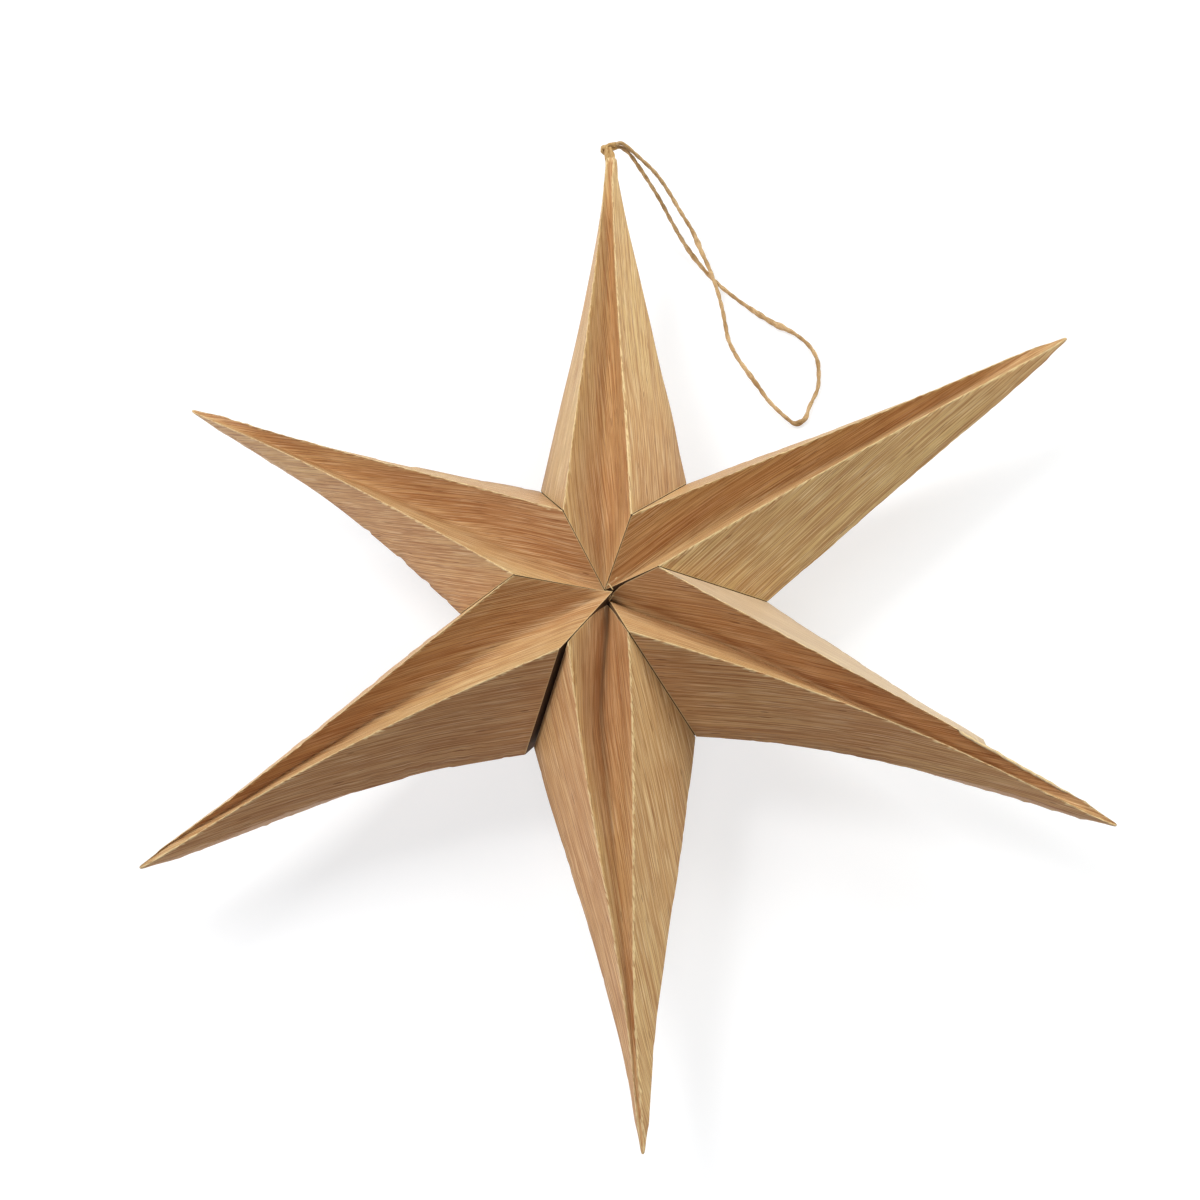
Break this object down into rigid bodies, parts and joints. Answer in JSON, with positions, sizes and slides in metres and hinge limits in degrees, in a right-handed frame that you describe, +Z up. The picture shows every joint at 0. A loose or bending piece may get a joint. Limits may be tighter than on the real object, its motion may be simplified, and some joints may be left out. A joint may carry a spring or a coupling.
{
  "type": "paper star",
  "caption": "Hanging star decoration of folded wood-veneer paper, pointed hollow arms with pleated grooves glued round a hub, on a knotted twine loop.",
  "frame": {"origin": "on the table surface the star lies on, below the middle of its outline", "axes": "+Z up out of the star's front, +Y towards the arm that carries the twine loop, +X to the right seen from the front"},
  "size_m": [0.2678, 0.3059, 0.054],
  "materials": {
    "veneer_paper": "matt wood veneer on paper",
    "foam_pad": "soft foam",
    "jute": "fibrous"
  },
  "bodies": {
    "root": {"arm_top": "veneer_paper", "arm_upper_right": "veneer_paper", "arm_lower_right": "veneer_paper", "arm_bottom": "veneer_paper", "arm_lower_left": "veneer_paper", "arm_upper_left": "veneer_paper", "closing_pad": "foam_pad", "twine_knot": "jute", "twine_loop": "jute"}
  },
  "joints": []
}
